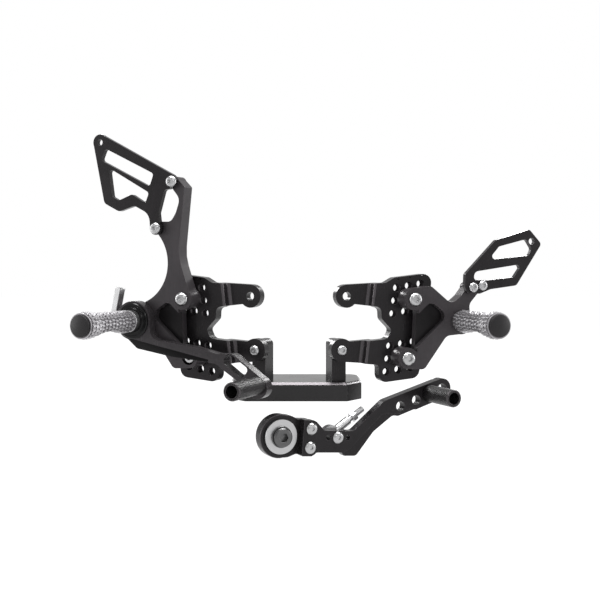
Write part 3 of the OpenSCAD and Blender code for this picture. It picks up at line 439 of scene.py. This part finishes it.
# %% Plastic finish
def moulded_plastic(name):
    finish = Finish(name, Metallic=0.0, Specular_IOR_Level=0.3)
    cloud = finish.noise(50, 3)
    finish.feed(Base_Color=finish.blend(cloud, (0.006, 0.005, 0.006),
                                        (0.013, 0.012, 0.013)),
                Roughness=cloud * 0.12 + 0.42)
    finish.bump(finish.noise(1500, 2), 0.2, 0.1 * MM)
    return finish.material


cap_plastic = moulded_plastic("cap_plastic")
print("finishes", len(bpy.data.materials))


# %% [markdown]
# ## Broken edges
#
# A milled part never has a perfectly sharp edge: the machinist breaks each one
# with a small chamfer, and that thin line is what catches the light on black
# parts. The frame's solids have the right shape but knife edges, so each one
# is copied, its loose triangles are merged and flattened, and a bevel breaks
# its edges. On black parts the bevel's faces get a lighter, more reflective
# copy of the black: a painted highlight along every edge.

# %% Copy a solid and merge it
MERGE_GAP = 0.004
LEVEL_ANGLE = math.radians(0.6)


def pick(*objects):
    bpy.ops.object.select_all(action="DESELECT")
    for o in objects:
        o.select_set(True)
    if objects:
        bpy.context.view_layer.objects.active = objects[0]


def merged_copy(name, node):
    pick(nodes[node])
    bpy.ops.object.duplicate()
    piece = bpy.context.active_object
    piece.name = name
    piece.data.name = name
    piece.parent = None
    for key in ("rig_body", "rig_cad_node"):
        if key in piece:
            del piece[key]
    piece.matrix_world = Matrix.Identity(4)
    pick(piece)
    bpy.ops.object.mode_set(mode="EDIT")
    bpy.ops.mesh.select_all(action="SELECT")
    bpy.ops.mesh.remove_doubles(threshold=MERGE_GAP * MM)
    bpy.ops.mesh.dissolve_limited(angle_limit=LEVEL_ANGLE, delimit={"NORMAL"})
    bpy.ops.object.mode_set(mode="OBJECT")
    if piece.data.has_custom_normals:
        bpy.ops.mesh.customdata_custom_splitnormals_clear()
    return piece


# %% [markdown]
# ## Finishes by the way a face looks
#
# A plate's faces are sorted by how far they turn from its outward direction:
# flat ones keep the plate's own finish, side walls too, and those that slope
# between the two get another: a lighter copy of the black with painted
# highlights on the plates, hangers and bridge, and a darker one with painted
# shade on the brake lever. A flat face that lies deeper than the rest is the
# floor of a milled web, which gets a darker copy of the black: painted shade
# in the recess. After the bevel, weighted normals keep the large faces flat
# right up to their edges.

# %% Break the edges of a solid and give it its body
EDGE, SLOPE, WEB = 1, 2, 3
WALL_LIMIT, FLAT_LIMIT = 0.2, 0.97
SHARP_ANGLE, SMOOTH_ANGLE = math.radians(38), math.radians(40)
dressed = []


def dress(piece, body, slot, *replaced):
    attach(piece, body)
    if replaced:
        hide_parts(*replaced)
    dressed.append(piece)


def sort_faces(piece, outward, sunk):
    for face in piece.data.polygons:
        facing = face.normal.dot(outward)
        if WALL_LIMIT < abs(facing) < FLAT_LIMIT:
            face.material_index = SLOPE
        # Flat faces below the web floor get the darker copy: painted shade in the recess.
        elif sunk and facing > FLAT_LIMIT and face.center.dot(outward) < sunk:
            face.material_index = WEB


def broken_edges(name, node, width, material, body, slot, outward=None,
                 slopes=None, sunk=None):
    piece = merged_copy(name, node)
    black = slot == "black_anodised"
    piece.data.materials.clear()
    piece.data.materials.append(material)
    # Black pieces carry the lighter copy as a second finish for the bevel's faces: a
    # painted highlight on every edge.
    if black:
        piece.data.materials.append(edge_highlight_black)
    if outward:
        piece.data.materials.append(slopes)
        piece.data.materials.append(recess_shade_black)
        sort_faces(piece, outward, sunk)
    bevel = piece.modifiers.new("edges", "BEVEL")
    bevel.width = width * MM
    bevel.segments = 2
    bevel.limit_method = "ANGLE"
    bevel.angle_limit = SHARP_ANGLE
    bevel.use_clamp_overlap = True
    if black:
        bevel.material = EDGE
    bpy.ops.object.modifier_apply(modifier="edges")
    bpy.ops.object.shade_smooth_by_angle(angle=SMOOTH_ANGLE)
    flat = piece.modifiers.new("flat_faces", "WEIGHTED_NORMAL")
    flat.weight = 100
    flat.keep_sharp = True
    bpy.ops.object.modifier_apply(modifier="flat_faces")
    dress(piece, body, slot, node)


# %% [markdown]
# ## Bridge and posts
#
# The flat bar joins both plates. Its top edge has a wide milled bevel, which
# is part of the solid and takes the lighter copy of the black as a painted
# highlight, and its top is left plain. The posts are plain blocks with round
# tops.

# %% Bridge and posts
ROOT, LEVER = "frame_set", "gear_lever_body"
BLACK, BRIGHT = "black_anodised", "bright_steel"
broken_edges("bridge_block", "bridge_bar", 0.5, bridge_black, ROOT, BLACK,
             outward=UP, slopes=edge_highlight_black)
broken_edges("brake_post_block", "brake_post", 0.5, plate_black, ROOT, BLACK)
broken_edges("gear_post_block", "gear_post", 0.5, plate_black, ROOT, BLACK)

# %% [markdown]
# ## Adapter plates and hangers
#
# The adapter plates are drilled with a grid of holes, so that the footpeg can
# be set higher or further back. Each hanger is milled away between its legs,
# and the floor of that web gets painted shade.
# A chamfer of half a millimetre round every hole gives each one its bright rim,
# lit by the lamps and brightened by the lighter copy of the black, a painted
# highlight.

# %% Adapter plates, hangers and heel guards
# Hanger faces deeper than this are web floors and get painted shade.
WEB_FLOOR = 39
# The slopes of adapters and hangers take the lighter copy: painted highlight.
for side in ("brake", "gear"):
    broken_edges(side + "_adapter", side + "_adapter_plate", 0.55, plate_black, ROOT,
                 BLACK, outward=OUT[side], slopes=edge_highlight_black)
    broken_edges(side + "_hanger_body", side + "_hanger", 0.6, hanger_black, ROOT,
                 BLACK, outward=OUT[side], slopes=edge_highlight_black,
                 sunk=on_plate(side, 0, 0, WEB_FLOOR).dot(OUT[side]))
    broken_edges(side + "_guard_plate", side + "_heel_guard", 0.45, plate_black, ROOT,
                 BLACK)
print("pieces so far", len(dressed))

# %% [markdown]
# ## Tapped holes
#
# The grid holes are tapped, and the crests of the thread give each hole its
# bright dashes, which the lighter copy of the black on the rings paints in as
# a highlight. At this size the slope of a real thread can't be seen, so the
# thread is a ring with even ridges: a circle is extruded step by step and each
# second ring is drawn in. One ring is made and copied into every hole.

# %% Turn a closed profile round an axis
RING_MERGE_GAP, RING_SMOOTH_ANGLE = 0.002, math.radians(30)


def turned(name, profile, corners):
    pick()
    radius, height = profile[0]
    bpy.ops.mesh.primitive_circle_add(vertices=corners, radius=radius * MM,
                                      location=(0, 0, height * MM))
    piece = bpy.context.active_object
    piece.name = name
    bpy.ops.object.transform_apply(location=True, rotation=True, scale=True)
    bpy.ops.object.mode_set(mode="EDIT")
    bpy.ops.mesh.select_all(action="SELECT")
    for r, h in profile[1:] + profile[:1]:
        bpy.ops.mesh.extrude_region_move(
            TRANSFORM_OT_translate={"value": (0, 0, (h - height) * MM)})
        bpy.ops.transform.resize(value=(r / radius, r / radius, 1))
        radius, height = r, h
    bpy.ops.mesh.select_all(action="SELECT")
    bpy.ops.mesh.remove_doubles(threshold=RING_MERGE_GAP * MM)
    bpy.ops.mesh.normals_make_consistent(inside=False)
    bpy.ops.object.mode_set(mode="OBJECT")
    bpy.ops.object.shade_smooth_by_angle(angle=RING_SMOOTH_ANGLE)
    return piece


def ridged(back, root, crest, length, steps):
    ridges = [(crest if k % 2 else root, length * k / steps) for k in range(steps + 1)]
    return [(back, 0)] + ridges + [(back, length)]


# %% Copy a turned piece to its places and join the copies
def copies_of(piece, name, places, axis, material):
    made = []
    for where in places:
        pick(piece)
        bpy.ops.object.duplicate()
        copy = bpy.context.active_object
        copy.location = where
        copy.rotation_euler = axis.to_track_quat("Z", "Y").to_euler()
        made.append(copy)
    pick(*made)
    bpy.ops.object.join()
    bpy.ops.object.transform_apply(location=True, rotation=True, scale=True)
    joined = bpy.context.active_object
    joined.name = name
    joined.data.name = name
    joined.data.materials.append(material)
    return joined


# %% [markdown]
# ## The grid of holes
#
# Each plate has an upper and a lower field of three by three holes, without
# the middle one, which is the hanger's bolt hole. The rows rise and the
# columns lean by the same angle, so the grid is slightly skewed, and the lower
# field stands below the upper one along a line that leans too.

# %% Tap every hole of both grids
GRID_SKEW, FIELD_LEAN = math.radians(8.5), math.radians(7)
HOLE_PITCH, FIELD_PITCH = 13.1, 59
UPPER_FIELD = Vector((65.8, 51.4))
PLATE_THREAD_START = 9.7

row = Vector((math.cos(GRID_SKEW), math.sin(GRID_SKEW))) * HOLE_PITCH
column = Vector((math.sin(GRID_SKEW), math.cos(GRID_SKEW))) * HOLE_PITCH
lean = Vector((math.sin(FIELD_LEAN), math.cos(FIELD_LEAN)))
fields = (UPPER_FIELD, UPPER_FIELD - lean * FIELD_PITCH)
spots = [field + i * row + j * column for field in fields
         for i in (-1, 0, 1) for j in (-1, 0, 1) if i or j]
hole_ridges = ridged(back=4.19, root=4.1, crest=3.6, length=9.6, steps=14)
tap = turned("tap", hole_ridges, corners=28)
for side in ("brake", "gear"):
    places = [on_plate(side, spot.x, spot.y, PLATE_THREAD_START) for spot in spots]
    rings = copies_of(tap, side + "_plate_threads", places, OUT[side], edge_highlight_black)
    dress(rings, ROOT, BLACK)
pick(tap)
bpy.ops.object.delete()
print("tapped holes", 2 * len(spots))

# %% [markdown]
# ## Levers
#
# The brake lever is bored for its bush and cut back along its lower edge. The
# gear lever has a stepped flange and a row of holes. The brake lever's black is
# a little lighter than the plates', and its sloped faces, the cut along its
# lower edge among them, get a darker, duller copy: painted shade.

# %% Levers and toe pegs
PEDAL = "brake_lever_body"
# The brake lever's slopes take the darker copy: painted shade.
broken_edges("brake_lever_body_piece", "brake_lever", 0.6, lever_black, PEDAL, BLACK,
             outward=OUT["brake"], slopes=slope_shade_black)
broken_edges("gear_arm", "gear_lever_arm", 0.6, arm_black, LEVER, BLACK)
broken_edges("gear_eye", "gear_eye_link", 0.8, arm_black, LEVER, BLACK)
broken_edges("brake_toe_sleeve", "brake_toe_peg", 0.4, brake_sleeve, PEDAL, BLACK)
broken_edges("gear_toe_sleeve", "gear_toe_peg", 0.4, gear_sleeve, LEVER, BLACK)
print("pieces so far", len(dressed))

# %% [markdown]
# ## Hub cover and bolt flange
#
# A thin turned ring covers the brake lever's bush, and the pivot bolt of the
# gear lever has a flange under its head. Both are profiles turned round an
# axis, with a chamfer that lights up as a fine circle. The cover's face has a
# shallow groove.

# %% Turned rings
def chamfered(bore, rim, height, rim_cut, bore_cut=0.5, groove=()):
    return ([(bore, 0), (rim, 0), (rim, height - rim_cut), (rim - rim_cut, height)]
            + [(radius, height - depth) for radius, depth in groove]
            + [(bore + bore_cut, height), (bore, height - bore_cut)])


FLANGE_BACK = -6.68
cover_groove = [(15.2, 0), (14.8, 0.4), (13.2, 0.4), (12.8, 0)]
cover_profile = chamfered(bore=10.9, rim=18.2, height=1.9, rim_cut=0.8,
                          groove=cover_groove)
cover = turned("cover", cover_profile, corners=96)
hub_cover = copies_of(cover, "hub_cover", [hub], OUT["brake"], ring_black)
dress(hub_cover, ROOT, BLACK)
flange_profile = chamfered(bore=9.2, rim=10.6, height=1.3, rim_cut=0.4)
flange = turned("flange", flange_profile, corners=96)
bolt_flange = copies_of(flange, "pivot_bolt_flange", [on_lever(0, 0, FLANGE_BACK)],
                        LEVER_OUT, dark_steel)
dress(bolt_flange, ROOT, "steel")
pick(cover, flange)
bpy.ops.object.delete()
print("hub cover measures", [round(c, 4) for c in hub_cover.dimensions])

# %% [markdown]
# ## Screws, washers and the rod end
#
# All screw heads are low domes with a hexagon socket. The sockets need crisp,
# slightly broken edges to read as sockets from a distance.

# %% Screws and turned parts
small_parts = [
    ("ear_screws", "ear_bolts", 0.25, screw_silver, ROOT, BRIGHT),
    ("hanger_screws", "hanger_bolts", 0.3, screw_silver, ROOT, BRIGHT),
    ("hanger_hex_nuts", "hanger_nuts", 0.4, turned_steel, ROOT, "steel"),
    ("foot_screws", "post_screws", 0.25, turned_steel, ROOT, "steel"),
    ("brake_guard_heads", "brake_guard_screws", 0.25, screw_silver, ROOT, BRIGHT),
    ("gear_guard_heads", "gear_guard_screws", 0.25, screw_silver, ROOT, BRIGHT),
    ("brake_peg_screw", "brake_peg_bolt", 0.4, turned_steel, ROOT, "steel"),
    ("gear_peg_screw", "gear_peg_bolt", 0.4, turned_steel, ROOT, "steel"),
    ("brake_collar", "brake_peg_collar", 0.5, collar_silver, ROOT, "silver_anodised"),
    ("pivot_washer_disc", "pivot_washer", 0.5, washer_silver, ROOT, "silver_anodised"),
    ("pivot_screw", "pivot_bolt", 0.35, dark_steel, ROOT, "steel"),
    ("link_screws", "link_bolts", 0.25, screw_silver, LEVER, BRIGHT),
    ("rod_end_screw", "rod_end_bolt", 0.25, screw_silver, LEVER, BRIGHT),
    ("coupling_hexagon", "push_rod_coupling", 0.7, collar_silver, "coupling_body", BRIGHT),
    ("rod_end_eye", "rod_end_body", 0.4, collar_silver, "rod_end", BRIGHT),
    ("rod_end_nut", "rod_end_lock_nut", 0.4, collar_silver, "rod_end", BRIGHT),
    ("peg_caps", "peg_end_caps", 0.5, cap_plastic, ROOT, "black_plastic"),
]
for name, node, width, material, body, slot in small_parts:
    broken_edges(name, node, width, material, body, slot)
print("small parts", len(small_parts))

# %% [markdown]
# ## Thread of the rod end
#
# Behind its lock nut the rod end's shank is threaded. The same ridged ring as
# in the holes does it, this time with the ridges outside. The rod end leans
# from the lever's arm, and the thread starts some way up its axis.

# %% Rod-end thread
ROD_U, ROD_V, ROD_W = 58.3, 1.0, -17.0
ROD_LEAN = 37.7
ROD_THREAD_START = 33.9

rod_turn = math.radians(ROD_LEAN + LEVER_DIP)
rod_axis = LEVER_ALONG * math.cos(rod_turn) + UP * math.sin(rod_turn)
rod_eye = on_lever(ROD_U, ROD_V, ROD_W)
rod_ridges = ridged(back=2.6, root=2.95, crest=3.3, length=9.8, steps=20)
shank = turned("shank", rod_ridges, corners=28)
thread = copies_of(shank, "rod_end_thread", [rod_eye + rod_axis * ROD_THREAD_START * MM],
                   rod_axis, collar_silver)
dress(thread, "rod_end", BRIGHT)
pick(shank)
bpy.ops.object.delete()

# %% [markdown]
# ## Solids that stay as they are
#
# The footpegs' teeth are sharp on the real part, and the other solids here lie
# mostly hidden between their neighbours. A bevel would cost many faces and
# show little, so they keep their meshes and only get a finish.

# %% Finishes for the solids that stay
finish_of = {
    "brake_footpeg": brake_silver,
    "gear_footpeg": gear_silver,
    "brake_pivot_bush": turned_steel,
    "brake_toe_screw": turned_steel,
    "gear_toe_screw": turned_steel,
    "coupling_pin": turned_steel,
    "bearing_outer_ring": turned_steel,
    "bearing_inner_ring": turned_steel,
    "bearing_balls": screw_silver,
    "rod_end_ball": screw_silver,
    "rod_end_washer": turned_steel,
}
for node, material in finish_of.items():
    nodes[node].data.materials.clear()
    nodes[node].data.materials.append(material)
print("dressed", len(dressed), "kept", len(finish_of))

# %% [markdown]
# ## Studio
#
# The set stands in front of plain white. The floor is pale and keeps a soft
# shadow, while camera and mirror rays see it as almost pure white, the way a
# product photographer burns out a sweep of paper.

# %% Floor
FLOOR_HEIGHT = -0.06
PAPER_GLOW, GLOW_SHARE = 1.12, 0.87
pick()
bpy.ops.mesh.primitive_plane_add(size=8, location=(0, 0, FLOOR_HEIGHT))
floor = bpy.context.active_object
floor.name = "floor"
paper = bpy.data.materials.new("paper")
paper.use_nodes = True
paper.node_tree.nodes.clear()
sheet = Recipe(paper.node_tree)
matt = sheet.node("ShaderNodeBsdfDiffuse", Color=(0.86, 0.86, 0.87, 1))
glow = sheet.node("ShaderNodeEmission", Color=(1, 1, 1, 1), Strength=PAPER_GLOW)
seen = (sheet.node("ShaderNodeLightPath", "Is Camera Ray")
        + sheet.node("ShaderNodeLightPath", "Is Glossy Ray")
        + sheet.node("ShaderNodeLightPath", "Is Transmission Ray"))
shown = sheet.node("ShaderNodeMixShader", 0, None, seen.least(1.0) * GLOW_SHARE,
                   matt, glow)
sheet.node("ShaderNodeOutputMaterial", Surface=shown)
floor.data.materials.append(paper)
print("floor at", round(floor.location.z, 3))

# %% [markdown]
# ## White room
#
# The room is one even white. It gives the parts a soft base light, and it is
# brighter for what looks straight at it than for what it lights. Mirrors see
# something between the two, so that bright metal keeps darker tones.

# %% Room
BASE_LIGHT, MIRROR_SHARE = 0.35, 0.55
world = bpy.context.scene.world or bpy.data.worlds.new("room")
bpy.context.scene.world = world
world.use_nodes = True
world.node_tree.nodes.clear()
room = Recipe(world.node_tree)
dim = room.node("ShaderNodeBackground", Color=(1, 1, 1, 1), Strength=BASE_LIGHT)
white = room.node("ShaderNodeBackground", Color=(1, 1, 1, 1), Strength=1.0)
seen = (room.node("ShaderNodeLightPath", "Is Camera Ray")
        + room.node("ShaderNodeLightPath", "Is Transmission Ray")
        + room.node("ShaderNodeLightPath", "Is Glossy Ray") * MIRROR_SHARE)
shown = room.node("ShaderNodeMixShader", 0, None, seen.least(1.0), dim, white)
room.node("ShaderNodeOutputWorld", Surface=shown)
bpy.context.scene.view_settings.view_transform = "Standard"
print("room nodes", len(world.node_tree.nodes))

# %% [markdown]
# ## Soft boxes
#
# Black parts are drawn by what they mirror. A long strip overhead lights the
# top faces and edges, two small boxes behind rim the set, and weak ones at the
# sides and in front open the shadows.

# %% Lamps, all aimed at the middle of the set
MIDDLE = Vector((0, 0, 0.08))


def soft_box(name, place, width, height, watts):
    data = bpy.data.lights.new(name, "AREA")
    data.shape = "RECTANGLE"
    data.size = width
    data.size_y = height
    data.energy = watts
    lamp = bpy.data.objects.new(name, data)
    bpy.context.scene.collection.objects.link(lamp)
    lamp.location = place
    lamp.rotation_euler = (MIDDLE - Vector(place)).to_track_quat("-Z", "Y").to_euler()


soft_box("top_strip", (0.0, -0.12, 1.1), 1.6, 0.2, 20)
soft_box("left_rim", (-0.5, 1.05, 0.5), 0.3, 0.3, 4)
soft_box("right_rim", (0.5, 1.05, 0.5), 0.3, 0.3, 4)
soft_box("left_side", (-1.2, -0.15, 0.25), 0.3, 0.8, 5)
soft_box("right_side", (1.2, -0.2, 0.25), 0.3, 0.8, 5)
soft_box("front_strip", (0.1, -1.3, 0.8), 1.1, 0.08, 3)
print("lamps", len(bpy.data.lights))
